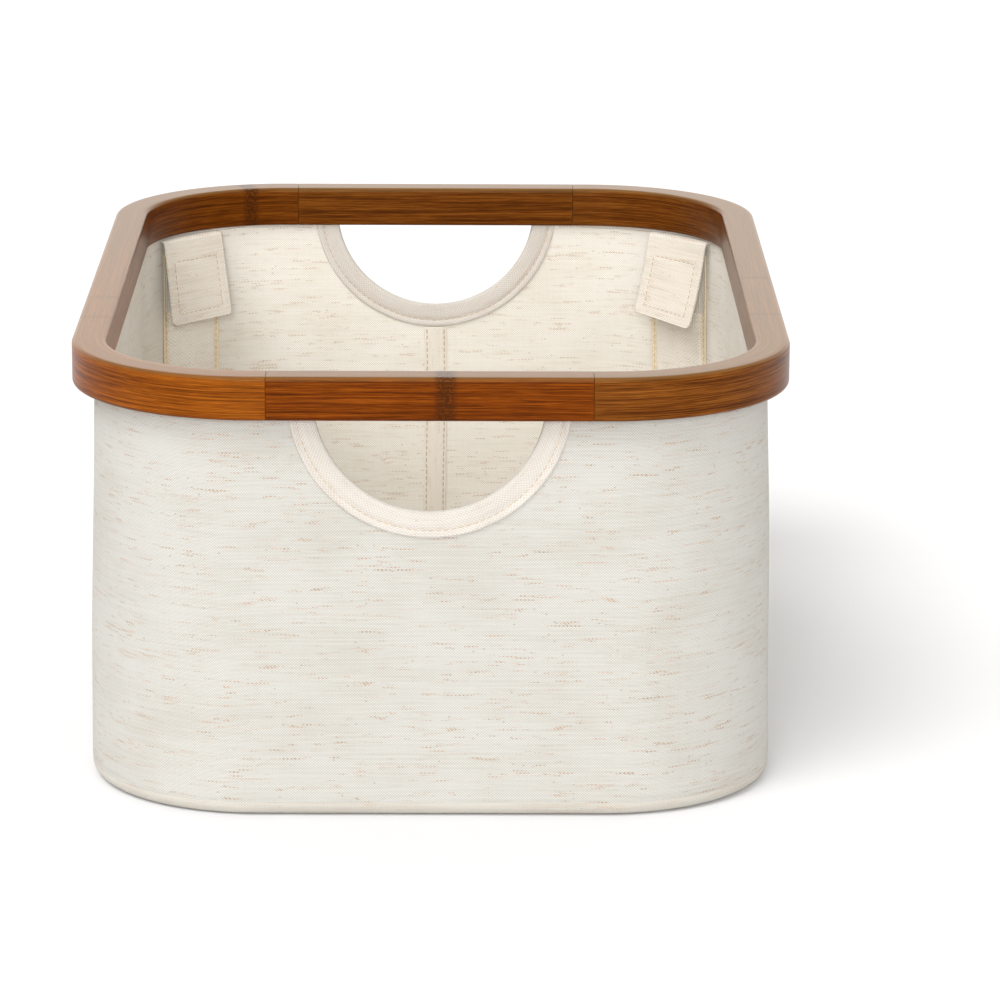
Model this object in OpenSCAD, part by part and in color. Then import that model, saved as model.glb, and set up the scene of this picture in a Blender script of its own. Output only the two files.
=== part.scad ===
// Fabric storage bin: a bent bamboo rim on a two-layer cloth body, held up by four
// rods in corner sleeves. Millimetres, +Z up, the front faces -Y, and the origin is
// on the floor under the middle of the bin.

/* [Rim] */
// Outer width of the rim, along X
rim_w = 330; // [280:1:380]
// Outer depth of the rim, along Y
rim_d = 470; // [400:1:520]
// Outer corner radius of the rim
rim_r = 86; // [70:1:110]
// Height of the rim's section
rim_h = 20; // [16:0.5:26]
// Thickness of the rim's section
rim_t = 16; // [15:0.5:20]
// Rounding of the rim's long edges
rim_edge_r = 1.8; // [0.5:0.1:2.4]
// Distance from the middle to each butt joint of the straight rails
rail_half = 73; // [68:0.5:75]
// Gap at each butt joint
joint_gap = 0.1; // [0:0.05:0.3]

/* [Body] */
// Height of the bin, floor to the rim's top
bin_h = 206; // [160:1:260]
// Distance from the rim's outer face in to the cloth
wall_inset = 10; // [9.5:0.1:10.5]
// How far each wall leans out from the rim down to the floor
wall_flare = 3.4; // [0:0.1:5]
// Thickness of one layer of cloth
cloth_t = 1.2; // [0.8:0.1:1.2]
// Rounding of the bottom edge
base_edge_r = 6.5; // [5:0.5:9]
// Thickness of the stiff board in the base
board_t = 4; // [2:0.5:4]

/* [Hand holes] */
// Radius of each hand hole's round cut
hole_r = 52; // [40:1:60]
// Height of that round's centre over the rim's underside
hole_rise = 8.5; // [5:0.5:20]
// Width of the folded tape round each hand hole
binding_w = 12; // [8:0.5:12]
// Thickness of that tape
binding_t = 1; // [0.6:0.1:1.2]
// Width of the tape over the centre seam
seam_tape_w = 12; // [8:0.5:16]

/* [Corner rods] */
// Radius of each support rod
rod_r = 2; // [1.5:0.1:2]
// Wall of the cap on each end of a rod
rod_cap_t = 0.4; // [0.3:0.1:0.5]
// Length of each cap
rod_cap_h = 6; // [4:0.5:8]
// Width of a rod's sleeve, seam to seam
sleeve_w = 39; // [30:1:42]
// How far below the rim a sleeve's mouth is
sleeve_mouth = 9; // [9:0.5:12]
// Width of the flap over a sleeve's mouth
flap_w = 40; // [30:1:42]
// Length of the flap below its fold
flap_h = 44; // [36:1:50]
// Lean of the loosely hanging flap towards the inside of the bin
flap_lean = 8; // [4:1:15]
// How far each flap is sewn off its rod, towards the long side
flap_shift = 3; // [0:0.5:4]
// Width of the hook and the loop patch
patch_w = 30; // [20:1:32]
// Height of the hook and the loop patch
patch_h = 28; // [16:1:28]

/* [Hidden] */

// Colours
BAMBOO = [0.50, 0.25, 0.11];
LINEN = [0.92, 0.89, 0.83];
LINING = [0.90, 0.86, 0.77];
TAPE = [0.86, 0.80, 0.71];
SLEEVE = [0.84, 0.79, 0.72];
BOARD = [0.70, 0.58, 0.42];
ROD = [0.80, 0.80, 0.78];
CAP = [0.20, 0.20, 0.20];
PATCH = [0.82, 0.80, 0.76];

// Rounds: smooth ones for the rim and the hand holes, and small ones
fine_fn = 96;
small_fn = 32;

// Centres of the corner rounds, which every ring of the bin shares
corner_x = rim_w / 2 - rim_r;
corner_y = rim_d / 2 - rim_r;

// Heights
rim_z = bin_h - rim_h;
groove_h = 9;
groove_top = rim_z + groove_h;
hem_top = groove_top - 0.5;
wall_bottom = base_edge_r;
board_z = cloth_t;
base_lining_z = board_z + board_t;
base_lining_top = base_lining_z + cloth_t;

// The two cloth layers at the rim, as distances in from the rim's outer face
inside_inset = wall_inset + 2 * cloth_t;
hem_tape_t = 1;
hem_tape_drop = 1.4;
groove_clear = 0.1;
groove_inset = wall_inset - groove_clear;
groove_w = 2 * cloth_t + hem_tape_t + 2 * groove_clear;

// Lean of a wall, as an angle
wall_tilt = atan2(wall_flare, rim_z - wall_bottom);

// Rod, sleeve, patches and flap, measured in from the face of the lining
rod_clear = 0.1;
cap_r = rod_r + rod_cap_t;
rod_in = rod_clear + cap_r;
channel_r = rod_r + 0.2;
foot_clear = 0.15;
sleeve_t = 0.7;
patch_t = 0.7;
flap_t = 1;
flap_gap = 0.1;
hinge_in = rod_in + channel_r + sleeve_t + 2 * patch_t + flap_gap + flap_t / 2;
hinge_r = rim_r - inside_inset - hinge_in;
hinge_z = rim_z - 1.6;
patch_drop = 11;
root_gap = 0.3;
rod_top_drop = 2.6;
flap_corner_r = 3;

// A point of a ring's profile, from its distance in from the rim's outer face
function at(inset, z) = [rim_r - inset, z];

// How far out the wall has leant at height z
function lean(z) = z > rim_z ? 0 : wall_flare * (rim_z - z) / (rim_z - wall_bottom);

// Points of a cloth strip drawn tight from seam to seam over a round of radius r
// that stands d in from the lining, as [distance in, sideways]
function tight_strip(half_w, foot, d, r) =
    let (
        reach = norm([d - foot, half_w]),
        slope = atan2(d - foot, half_w) + asin(r / reach),
        steps = 6
    )
    concat(
        [[foot, -half_w]],
        [for (i = [0:steps]) let (a = slope * (2 * i / steps - 1)) [d + r * cos(a), r * sin(a)]],
        [[foot, half_w]]
    );

function reversed(points) = [for (i = [len(points) - 1:-1:0]) points[i]];

// Sweeps a profile, drawn as distance from the corner's centre and height, round the bin
module ring() {
    for (sx = [-1, 1], sy = [-1, 1])
        translate([sx * corner_x, sy * corner_y, 0])
            rotate([0, 0, atan2(sy, sx) - 45])
                rotate_extrude(angle = 90, $fn = fine_fn) children();
    for (side = [0, 180]) {
        rotate([0, 0, side])
            translate([corner_x, corner_y, 0])
                rotate([90, 0, 0]) linear_extrude(2 * corner_y) children();
        rotate([0, 0, side + 90])
            translate([corner_y, corner_x, 0])
                rotate([90, 0, 0]) linear_extrude(2 * corner_x) children();
    }
}

// A flat plate with the bin's rounded outline, inset from the rim's outer face
module plate(inset, z, t) {
    translate([0, 0, z])
        linear_extrude(t)
            union() {
                square([rim_w - 2 * inset, 2 * corner_y], center = true);
                square([2 * corner_x, rim_d - 2 * inset], center = true);
                for (sx = [-1, 1], sy = [-1, 1])
                    translate([sx * corner_x, sy * corner_y])
                        circle(rim_r - inset, $fn = fine_fn);
            }
}

// Rim section: rounded edges, and a groove below for the hem
module rim_section() {
    inner = rim_r - rim_t;
    difference() {
        union() {
            translate([inner + rim_edge_r, rim_z]) square([rim_t - 2 * rim_edge_r, rim_h]);
            translate([inner, rim_z + rim_edge_r]) square([rim_t, rim_h - 2 * rim_edge_r]);
            for (x = [inner + rim_edge_r, rim_r - rim_edge_r])
                for (z = [rim_z + rim_edge_r, bin_h - rim_edge_r])
                    translate([x, z]) circle(rim_edge_r, $fn = small_fn);
        }
        translate([rim_r - groove_inset - groove_w, rim_z - 1]) square([groove_w, groove_h + 1]);
    }
}

// The stretch of the rim between the butt joints, at the front (-1) or the rear (1)
module rim_rail(sy) {
    length = 2 * rail_half - joint_gap;
    color(BAMBOO)
        translate([-sy * length / 2, sy * corner_y, 0])
            rotate([0, 0, sy * 90])
                rotate([90, 0, 0]) linear_extrude(length) rim_section();
}

// The rest of the rim on one side: two bends, the long side and the rail ends
module rim_bow(sx) {
    reach = rail_half + joint_gap / 2;
    color(BAMBOO)
        intersection() {
            ring() rim_section();
            translate([sx * (reach + rim_w / 2), 0, rim_z + rim_h / 2])
                cube([rim_w, rim_d + 2, rim_h + 2], center = true);
        }
}

// Cross-section of a cloth layer whose outer face is offset in from the wall's
module layer_section(offset_in, t) {
    inset = wall_inset + offset_in;
    polygon([
        at(inset, hem_top),
        at(inset, rim_z),
        at(inset - wall_flare, wall_bottom),
        at(inset - wall_flare + t, wall_bottom),
        at(inset + t, rim_z),
        at(inset + t, hem_top)
    ]);
}

// A round bar through the front and rear walls, on the hand holes' centre
module through_bar(r) {
    translate([0, 0, rim_z + hole_rise])
        rotate([90, 0, 0]) cylinder(r = r, h = rim_d + 20, center = true, $fn = fine_fn);
}

module cloth_layer(offset_in) {
    difference() {
        ring() layer_section(offset_in, cloth_t);
        through_bar(hole_r + binding_t);
    }
}

module outer_wall() {
    color(LINEN) cloth_layer(0);
}

module wall_lining() {
    color(LINING) cloth_layer(cloth_t);
}

// Stiff tape sewn to the hem, jammed in the rim's groove and showing a little below it
module hem_tape() {
    color(TAPE)
        difference() {
            ring()
                translate([rim_r - inside_inset - hem_tape_t, rim_z - hem_tape_drop])
                    square([hem_tape_t, hem_top - rim_z + hem_tape_drop]);
            cube([2 * (hole_r + binding_w + 1.5), rim_d, 3 * bin_h], center = true);
        }
}

// Bottom cloth, turned up round the edge to meet the outer wall
module base_cover() {
    side_inset = wall_inset - wall_flare;
    color(LINEN) {
        ring()
            translate([rim_r - side_inset - base_edge_r, base_edge_r])
                intersection() {
                    difference() {
                        circle(base_edge_r, $fn = fine_fn);
                        circle(base_edge_r - cloth_t, $fn = fine_fn);
                    }
                    translate([0, -base_edge_r]) square(base_edge_r);
                }
        plate(side_inset + base_edge_r, 0, cloth_t);
    }
}

module base_board() {
    color(BOARD) plate(wall_inset - wall_flare + base_edge_r + 0.1, board_z, board_t);
}

module base_lining() {
    color(LINING) plate(wall_inset - wall_flare + cloth_t + 0.3, base_lining_z, cloth_t - 0.05);
}

// A slab as wide as a hand hole that follows the front wall, grown on both faces
module front_wall_slab(grow, depth_in, depth_out, low, high) {
    width = 2 * (hole_r + binding_w + 2);
    translate([-width / 2, 0, 0])
        rotate([90, 0, 90])
            linear_extrude(width)
                polygon([
                    for (p = [[low, depth_in + grow], [high, depth_in + grow],
                              [high, depth_out - grow], [low, depth_out - grow]])
                        [p[1] - lean(p[0]) - rim_d / 2, p[0]]
                ]);
}

// Folded tape on both faces of the wall and over the cut edge, at the front or the rear
module handle_binding(sy) {
    low = rim_z - hole_r - binding_w;
    high = rim_z - 0.2;
    color(TAPE)
        mirror([0, sy > 0 ? 1 : 0, 0])
            difference() {
                intersection() {
                    front_wall_slab(binding_t, inside_inset, wall_inset, low, high);
                    through_bar(hole_r + binding_w);
                }
                through_bar(hole_r);
                difference() {
                    front_wall_slab(0, inside_inset, wall_inset, low - 1, high + 0.1);
                    through_bar(hole_r + binding_t);
                }
            }
}

// Tape over the lining's closing seam, on the middle of the rear wall
module centre_seam_tape() {
    thickness = 0.8;
    low = wall_bottom + 0.5;
    high = rim_z + hole_rise - hole_r - binding_w - 0.2;
    color(TAPE)
        mirror([0, 1, 0])
            intersection() {
                front_wall_slab(0, inside_inset + thickness, inside_inset, low, high);
                cube([seam_tape_w, 2 * rim_d, 2 * bin_h], center = true);
            }
}

// Puts +X outwards from a corner's centre
module at_corner(sx, sy) {
    translate([sx * corner_x, sy * corner_y, 0])
        rotate([0, 0, atan2(sy, sx)]) children();
}

// The same, on the lining's face under the rim, with +Z up along the leaning wall
module on_corner_wall(sx, sy) {
    at_corner(sx, sy)
        translate([rim_r - inside_inset, 0, rim_z])
            rotate([0, -wall_tilt, 0]) children();
}

rod_top = -rod_top_drop;
rod_bottom = base_lining_top + 0.3 - rim_z;

module corner_rod(sx, sy) {
    end_wall = 1;
    color(ROD)
        on_corner_wall(sx, sy)
            translate([-rod_in, 0, rod_bottom + end_wall])
                cylinder(r = rod_r, h = rod_top - rod_bottom - 2 * end_wall, $fn = small_fn);
}

module rod_caps(sx, sy) {
    end_wall = 1;
    color(CAP)
        on_corner_wall(sx, sy)
            translate([-rod_in, 0, 0])
                difference() {
                    for (z = [rod_bottom, rod_top - rod_cap_h])
                        translate([0, 0, z]) cylinder(r = cap_r, h = rod_cap_h, $fn = small_fn);
                    translate([0, 0, rod_bottom + end_wall])
                        cylinder(r = rod_r, h = rod_top - rod_bottom - 2 * end_wall, $fn = small_fn);
                }
}

// Moves a flap or patch off its rod towards the long side, where X is outwards
module off_rod(sx, sy) {
    translate([0, -sx * sy * flap_shift, 0]) children();
}

// The band between two tight strips, extruded down the wall between two depths
module strip_band(inner, outer, half_w, high, low) {
    arc_r = rim_r - inside_inset;
    foot = arc_r - sqrt(arc_r * arc_r - half_w * half_w) + foot_clear - channel_r;
    outline = concat(
        tight_strip(half_w, foot + outer, rod_in, outer),
        reversed(tight_strip(half_w, foot + inner, rod_in, inner))
    );
    translate([0, 0, -low])
        linear_extrude(low - high)
            polygon([for (p = outline) [-p[0], p[1]]]);
}

module rod_sleeve(sx, sy) {
    low = rim_z - base_lining_top - rod_cap_h - 1;
    color(SLEEVE)
        on_corner_wall(sx, sy)
            strip_band(channel_r, channel_r + sleeve_t, sleeve_w / 2, sleeve_mouth, low);
}

module loop_patch(sx, sy) {
    high = patch_drop + rim_z - hinge_z;
    front = channel_r + sleeve_t;
    color(PATCH)
        on_corner_wall(sx, sy)
            intersection() {
                strip_band(front, front + patch_t, sleeve_w / 2, high, high + patch_h);
                off_rod(sx, sy)
                    translate([0, 0, -high - patch_h / 2])
                        cube([3 * sleeve_w, patch_w, 2 * patch_h], center = true);
            }
}

// The sewn end of the flap's cloth, over the top of the rod and up to the hem tape
module flap_root(sx, sy) {
    root_start = hinge_r + flap_t / 2 + root_gap;
    color(LINEN)
        at_corner(sx, sy)
            intersection() {
                off_rod(sx, sy)
                    translate([root_start, -flap_w / 2, hinge_z - flap_t / 2])
                        cube([rim_t, flap_w, flap_t]);
                cylinder(r = rim_r - inside_inset - hem_tape_t - 0.1, h = bin_h, $fn = fine_fn);
            }
}

// The fold line of a flap, with -Z down along the hanging flap
module on_flap(sx, sy) {
    at_corner(sx, sy)
        off_rod(sx, sy)
            translate([hinge_r, 0, hinge_z])
                rotate([0, flap_lean, 0]) children();
}

module flap(sx, sy) {
    color(LINEN)
        on_flap(sx, sy) {
            rotate([90, 0, 0]) cylinder(r = flap_t / 2, h = flap_w, center = true, $fn = small_fn);
            rotate([0, 90, 0])
                linear_extrude(flap_t, center = true)
                    union() {
                        translate([0, -flap_w / 2]) square([flap_h - flap_corner_r, flap_w]);
                        translate([0, flap_corner_r - flap_w / 2])
                            square([flap_h, flap_w - 2 * flap_corner_r]);
                        for (side = [-1, 1])
                            translate([flap_h - flap_corner_r, side * (flap_w / 2 - flap_corner_r)])
                                circle(flap_corner_r, $fn = small_fn);
                    }
        }
}

module hook_patch(sx, sy) {
    color(PATCH)
        on_flap(sx, sy)
            translate([flap_t / 2, -patch_w / 2, -patch_drop - patch_h])
                cube([patch_t, patch_w, patch_h]);
}

rim_rail(-1);  // rim_front_rail
rim_rail(1);  // rim_rear_rail
rim_bow(-1);  // rim_left_bow
rim_bow(1);  // rim_right_bow
outer_wall();
wall_lining();
hem_tape();
base_cover();
base_board();
base_lining();
handle_binding(-1);  // front_handle_binding
handle_binding(1);  // rear_handle_binding
centre_seam_tape();
corner_rod(-1, -1);  // front_left_rod
corner_rod(1, -1);  // front_right_rod
corner_rod(-1, 1);  // rear_left_rod
corner_rod(1, 1);  // rear_right_rod
rod_caps(-1, -1);  // front_left_rod_caps
rod_caps(1, -1);  // front_right_rod_caps
rod_caps(-1, 1);  // rear_left_rod_caps
rod_caps(1, 1);  // rear_right_rod_caps
rod_sleeve(-1, -1);  // front_left_rod_sleeve
rod_sleeve(1, -1);  // front_right_rod_sleeve
rod_sleeve(-1, 1);  // rear_left_rod_sleeve
rod_sleeve(1, 1);  // rear_right_rod_sleeve
loop_patch(-1, -1);  // front_left_loop_patch
loop_patch(1, -1);  // front_right_loop_patch
loop_patch(-1, 1);  // rear_left_loop_patch
loop_patch(1, 1);  // rear_right_loop_patch
flap_root(-1, -1);  // front_left_flap_root
flap_root(1, -1);  // front_right_flap_root
flap_root(-1, 1);  // rear_left_flap_root
flap_root(1, 1);  // rear_right_flap_root
flap(-1, -1);  // front_left_flap
flap(1, -1);  // front_right_flap
flap(-1, 1);  // rear_left_flap
flap(1, 1);  // rear_right_flap
hook_patch(-1, -1);  // front_left_hook_patch
hook_patch(1, -1);  // front_right_hook_patch
hook_patch(-1, 1);  // rear_left_hook_patch
hook_patch(1, 1);  // rear_right_hook_patch
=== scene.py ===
import math

import bmesh
import bpy
import numpy as np
from mathutils import Matrix, Vector


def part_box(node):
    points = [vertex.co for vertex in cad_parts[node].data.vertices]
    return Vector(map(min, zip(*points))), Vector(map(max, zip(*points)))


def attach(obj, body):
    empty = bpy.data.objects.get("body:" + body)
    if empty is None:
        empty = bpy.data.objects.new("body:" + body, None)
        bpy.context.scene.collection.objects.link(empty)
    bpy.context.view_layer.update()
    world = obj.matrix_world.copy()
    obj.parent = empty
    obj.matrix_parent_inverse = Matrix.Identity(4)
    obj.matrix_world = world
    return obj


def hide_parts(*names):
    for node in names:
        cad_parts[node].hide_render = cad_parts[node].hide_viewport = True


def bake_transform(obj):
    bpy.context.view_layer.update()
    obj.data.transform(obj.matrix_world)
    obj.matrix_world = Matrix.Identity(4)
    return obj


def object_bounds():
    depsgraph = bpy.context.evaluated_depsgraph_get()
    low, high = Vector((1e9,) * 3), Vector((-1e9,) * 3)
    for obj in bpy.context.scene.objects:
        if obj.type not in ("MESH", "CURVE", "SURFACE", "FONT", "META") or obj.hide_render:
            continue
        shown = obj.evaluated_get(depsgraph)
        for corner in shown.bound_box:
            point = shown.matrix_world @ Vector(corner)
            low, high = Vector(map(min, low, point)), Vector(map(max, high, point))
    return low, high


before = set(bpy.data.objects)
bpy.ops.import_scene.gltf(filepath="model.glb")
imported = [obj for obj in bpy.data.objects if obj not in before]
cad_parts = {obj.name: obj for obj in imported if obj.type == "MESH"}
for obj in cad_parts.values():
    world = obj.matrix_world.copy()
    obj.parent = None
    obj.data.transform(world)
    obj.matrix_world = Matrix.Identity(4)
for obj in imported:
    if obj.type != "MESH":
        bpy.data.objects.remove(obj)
cad_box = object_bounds()

# ---------------------------------------------------------------- dimensions, in metres

HALF_W, HALF_D, TOP = cad_box[1]
rail_low, rail_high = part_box("rim_front_rail")
wall_low, wall_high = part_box("outer_wall")
RIM_Z = rail_low.z
RIM_H = TOP - RIM_Z
RIM_T = rail_high.y - rail_low.y
RAIL_HALF = rail_high.x
SEAM_Z = wall_low.z
HEM_TOP = wall_high.z
RIM_R = 0.086
RIM_EDGE = 0.0019
WALL_INSET = 0.010
FLARE = wall_high.y - (HALF_D - WALL_INSET)
CORE_HALF_X = HALF_W - RIM_R
CORE_HALF_Y = HALF_D - RIM_R
WALL_R = RIM_R - WALL_INSET
CLOTH = 0.0011
LINING_DEPTH = 0.0013
INSIDE = 0.0024
HOLE_R = 0.052
HOLE_Z = RIM_Z + 0.0085
BINDING_W = 0.012
HOLE_MARGIN = 0.0035
SLEEVE_TOP = RIM_Z - 0.009
SLEEVE_FOOT = 0.01335
HINGE_R = 0.0662
HINGE_Z = RIM_Z - 0.0016
FLAP_HALF = 0.020
FLAP_LENGTH = 0.044
FLAP_T = 0.001
FLAP_SHIFT = 0.003
PATCH_HALF = 0.015
PATCH_DROP = 0.011
PATCH_H = 0.028
PATCH_T = 0.0007
# The box of stitches round a patch
BOX_INSET = 0.0003
BOX_HALF = PATCH_HALF - BOX_INSET
BOX_LOW = PATCH_DROP + BOX_INSET
BOX_HIGH = PATCH_DROP + PATCH_H - BOX_INSET
# The part of a flap's thickness that is cloth
FLAP_FILL = 0.92
# Threads: how far one stands off the tape, a fine one's radius, and a sleeve seam's place
THREAD_LIFT = 0.00042
FINE_THREAD = 0.00024
SLEEVE_SEAM = 0.0178
# Where sewing runs beside the middle of the centre seam's tape, and beside the rear seam
TAPE_SEAM = 0.0046
REAR_SEAM = 0.0052
# Half the gap in the hem tape at a hand hole, and the length of a binding for its texture
HEM_GAP = 0.0658
BINDING_RUN = 0.165
# The gap between two pieces of the rim, and the spacing of points along a straight run
JOINT = 0.0001
STEP = 0.003

# ---------------------------------------------------------------- the line round the bin

# Distances at which a straight or a round ends, and the core's corner and direction at each

ARC = WALL_R * math.pi / 2
STOPS = np.cumsum([0, CORE_HALF_X, ARC, 2 * CORE_HALF_Y, ARC, 2 * CORE_HALF_X,
                   ARC, 2 * CORE_HALF_Y, ARC, CORE_HALF_X])
LOOP = STOPS[-1]
FRONT = LOOP / 2
CORE_X = CORE_HALF_X * np.array([0, -1, -1, -1, -1, 1, 1, 1, 1, 0])
CORE_Y = CORE_HALF_Y * np.array([1, 1, 1, -1, -1, -1, -1, 1, 1, 1])
TURN = np.radians([90, 90, 180, 180, 270, 270, 360, 360, 450, 450])
CORNERS = {
    "rear_left": (-1, 1, STOPS[1] + ARC / 2),
    "front_left": (-1, -1, STOPS[3] + ARC / 2),
    "front_right": (1, -1, STOPS[5] + ARC / 2),
    "rear_right": (1, 1, STOPS[7] + ARC / 2),
}


def around(s, rho, z):
    """Points at distance s round the bin from the rear's middle, anticlockwise from above."""
    s, rho, z = np.broadcast_arrays(s, rho, z)
    loop = np.mod(s, LOOP)
    turn = np.interp(loop, STOPS, TURN)
    x = np.interp(loop, STOPS, CORE_X) + rho * np.cos(turn)
    y = np.interp(loop, STOPS, CORE_Y) + rho * np.sin(turn)
    return np.stack([x, y, z], -1)


def near(s, middle):
    """Signed distance round the bin from middle to s, the short way."""
    return np.mod(s - middle + LOOP / 2, LOOP) - LOOP / 2


def ease(x, start, end):
    """0 before start, 1 after end, and a smooth step between them."""
    t = np.clip((x - start) / (end - start), 0, 1)
    return t * t * (3 - 2 * t)


def bell(x, width):
    """1 at x = 0, falling smoothly away over width."""
    return np.exp(-((x / width) ** 2))


def lean(z):
    """How far the wall stands out at height z, by its flare."""
    return FLARE * np.clip((RIM_Z - z) / (RIM_Z - SEAM_Z), 0, 1)


# The walls' waves: height, how many round the bin, phase, and how the phase climbs to the rim
WAVES = [(0.00042, 3, 1.1, 2.0), (0.00030, 7, 0.4, -3.1), (0.00022, 13, 2.2, 4.3),
         (0.00013, 23, 0.9, -6.1), (0.00010, 31, 2.9, 9.7)]


def swell(s, z):
    """How far the cloth stands out from a plain wall: slack between corners, a pinch at seams."""
    rise = np.clip((z - SEAM_Z) / (RIM_Z - SEAM_Z), 0, 1)
    from_corner = np.min([abs(near(s, c[2])) for c in CORNERS.values()], axis=0)
    slack = ease(from_corner, 0.028, 0.07) * np.sin(np.pi * rise) ** 0.7
    turn = 2 * np.pi * s / LOOP
    out = slack * sum(size * np.sin(count * turn + phase + climb * rise)
                      for size, count, phase, climb in WAVES)
    sewn = ease(z, 0.010, 0.020) * (1 - ease(z, 0.168, 0.178))
    pinch = 1 + 0.4 * np.sin(2 * np.pi * s / 0.0091) + 0.3 * np.sin(s / 0.0023)
    out = out - 0.00035 * pinch * bell(z - SEAM_Z, 0.0014)
    rear_seam = bell(near(s, 0), 0.0009) - 0.5 * ease(near(s, 0), 0, 0.0012)
    rear_seam = rear_seam + 0.5 * ease(near(s, 0), 0.008, 0.010)
    return out - 0.00035 * sewn * rear_seam


def wall(s, z, depth):
    """A point of the wall, depth in from its outer face."""
    return around(s, WALL_R + lean(z) + swell(s, z) - depth, z)


def columns(step, fine, spots, reach=0.006):
    """Places round the bin: every step, and closer round the spots."""
    marks = [np.linspace(a, b, max(2, round((b - a) / step) + 1))
             for a, b in zip(STOPS[:-1], STOPS[1:])]
    marks += [np.arange(-reach, reach + fine / 2, fine) + spot for spot in spots]
    s = np.unique(np.round(np.mod(np.concatenate(marks), LOOP), 6))
    return s[np.insert(np.diff(s) > 0.6 * fine, 0, True)]


# ---------------------------------------------------------------- meshes


def make(name, points, faces, corner_uv, material, body="root", slot=None, stands_for=(),
         sharp=50, closed=True):
    """A mesh object from points, lists of corners and one UV pair per corner."""
    mesh = bpy.data.meshes.new(name)
    mesh.from_pydata(np.asarray(points).reshape(-1, 3).tolist(), [], faces)
    layer = mesh.uv_layers.new(name="UVMap")
    layer.data.foreach_set("uv", np.asarray(corner_uv, np.float32).ravel())
    if closed:
        work = bmesh.new()
        work.from_mesh(mesh)
        bmesh.ops.recalc_face_normals(work, faces=work.faces)
        work.to_mesh(mesh)
        work.free()
    finish_mesh(mesh, sharp)
    mesh.materials.append(material)
    piece = bpy.data.objects.new(name, mesh)
    bpy.context.scene.collection.objects.link(piece)
    if stands_for:
        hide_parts(*stands_for)
    if body:
        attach(piece, body)
    return piece


def finish_mesh(mesh, sharp):
    """Shades a mesh smooth, but for edges sharper than an angle in degrees."""
    mesh.polygons.foreach_set("use_smooth", np.ones(len(mesh.polygons), bool))
    mesh.set_sharp_from_angle(angle=math.radians(sharp))


def grid(points, uv, wrap=False, keep=None, low_uv=None, split=0, cap=False):
    """Quads over rows of points, as (points, faces, one UV pair per corner).

    With wrap the last column meets the first, and uv has one more column than points.
    Rows of faces below split take low_uv. With cap one face closes the first row.
    """
    rows, cols = points.shape[:2]
    i, j = np.meshgrid(np.arange(rows - 1), np.arange(cols if wrap else cols - 1), indexing="ij")
    i, j = i.ravel(), j.ravel()
    if keep is not None:
        chosen = keep[i, j]
        i, j = i[chosen], j[chosen]
    k = (j + 1) % cols
    quads = np.stack([i * cols + j, i * cols + k, (i + 1) * cols + k, (i + 1) * cols + j], -1)

    def at(table):
        return np.stack([table[i, j], table[i, j + 1], table[i + 1, j + 1], table[i + 1, j]], 1)

    corner_uv = at(uv)
    if low_uv is not None:
        corner_uv = np.where((i < split)[:, None, None], at(low_uv), corner_uv)
    used, quads = np.unique(quads, return_inverse=True)
    faces = quads.reshape(-1, 4).tolist()
    corner_uv = corner_uv.reshape(-1, 2)
    if cap:
        faces.append(list(range(cols))[::-1])
        first = (uv if low_uv is None else low_uv)[0, :cols][::-1]
        corner_uv = np.concatenate([corner_uv, first])
    return points.reshape(-1, 3)[used], faces, corner_uv


def sweep(points, uv):
    """A closed section carried along stations, with both ends capped."""
    stations, n = points.shape[:2]
    points, faces, corner_uv = grid(points, uv, wrap=True)
    ends = [list(range(n))[::-1], [(stations - 1) * n + k for k in range(n)]]
    end_uv = np.concatenate([uv[0, :n][::-1], uv[-1, :n]])
    return points, faces + ends, np.concatenate([corner_uv, end_uv])


def section_uv(along, section):
    """UVs of a swept closed section: distance along, and distance round the section."""
    ring = np.vstack([section, section[:1]])
    around_it = np.concatenate([[0], np.cumsum(np.linalg.norm(np.diff(ring, axis=0), axis=1))])
    return np.stack(np.broadcast_arrays(np.asarray(along)[:, None], around_it[None, :]), -1)


def thicken(piece, thickness, sharp=50, offset=-1):
    """Gives a sheet its thickness, and leaves plain mesh."""
    solid = piece.modifiers.new("thickness", "SOLIDIFY")
    solid.thickness = thickness
    solid.offset = offset
    solid.use_even_offset = True
    graph = bpy.context.evaluated_depsgraph_get()
    mesh = bpy.data.meshes.new_from_object(
        piece.evaluated_get(graph), preserve_all_data_layers=True, depsgraph=graph)
    piece.modifiers.clear()
    piece.data = mesh
    mesh.name = piece.name
    finish_mesh(mesh, sharp)
    return piece


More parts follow.
